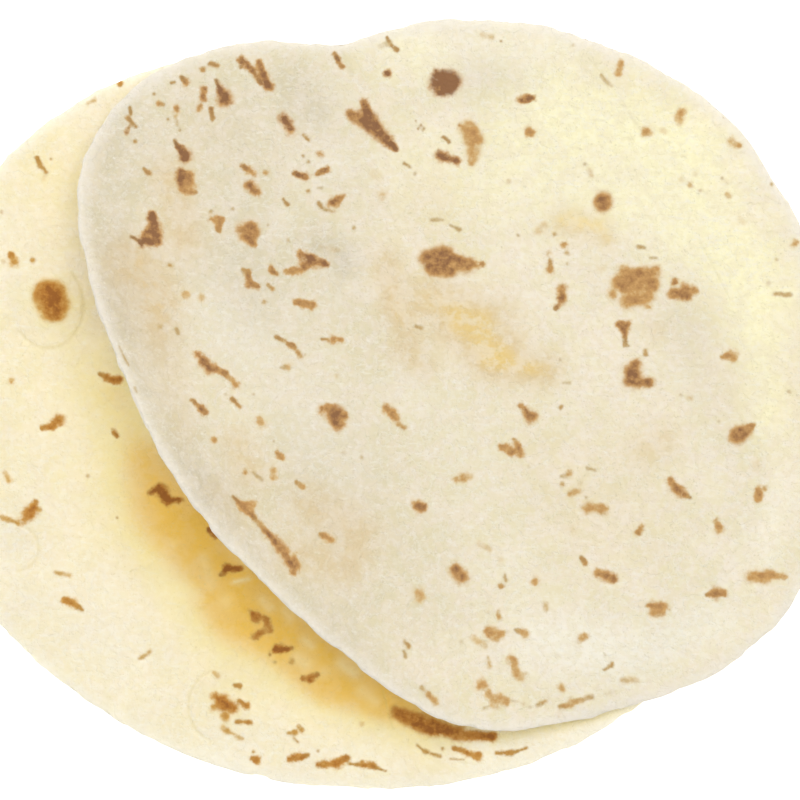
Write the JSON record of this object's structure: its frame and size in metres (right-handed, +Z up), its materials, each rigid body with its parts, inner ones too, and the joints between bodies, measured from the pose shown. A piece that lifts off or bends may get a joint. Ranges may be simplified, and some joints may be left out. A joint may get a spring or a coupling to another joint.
{
  "type": "stack of flour tortillas",
  "caption": "Two soft flour tortillas with toasted spots, one lying on the other and shifted to the right, with the upper one's lower left side curling up.",
  "frame": {"origin": "on the table, under the middle of the stack's bounding box", "axes": "+X to the right and +Y to the top of the picture, +Z up from the table"},
  "size_m": [0.2322, 0.1958, 0.0358],
  "materials": {
    "lower_dough": "warm yellow cream baked dough, floury and matt, with brown toasted spots",
    "upper_dough": "pale cream baked dough, floury and matt, with brown toasted spots"
  },
  "bodies": {
    "root": {"lower_tortilla": "lower_dough", "upper_tortilla": "upper_dough"}
  },
  "joints": []
}
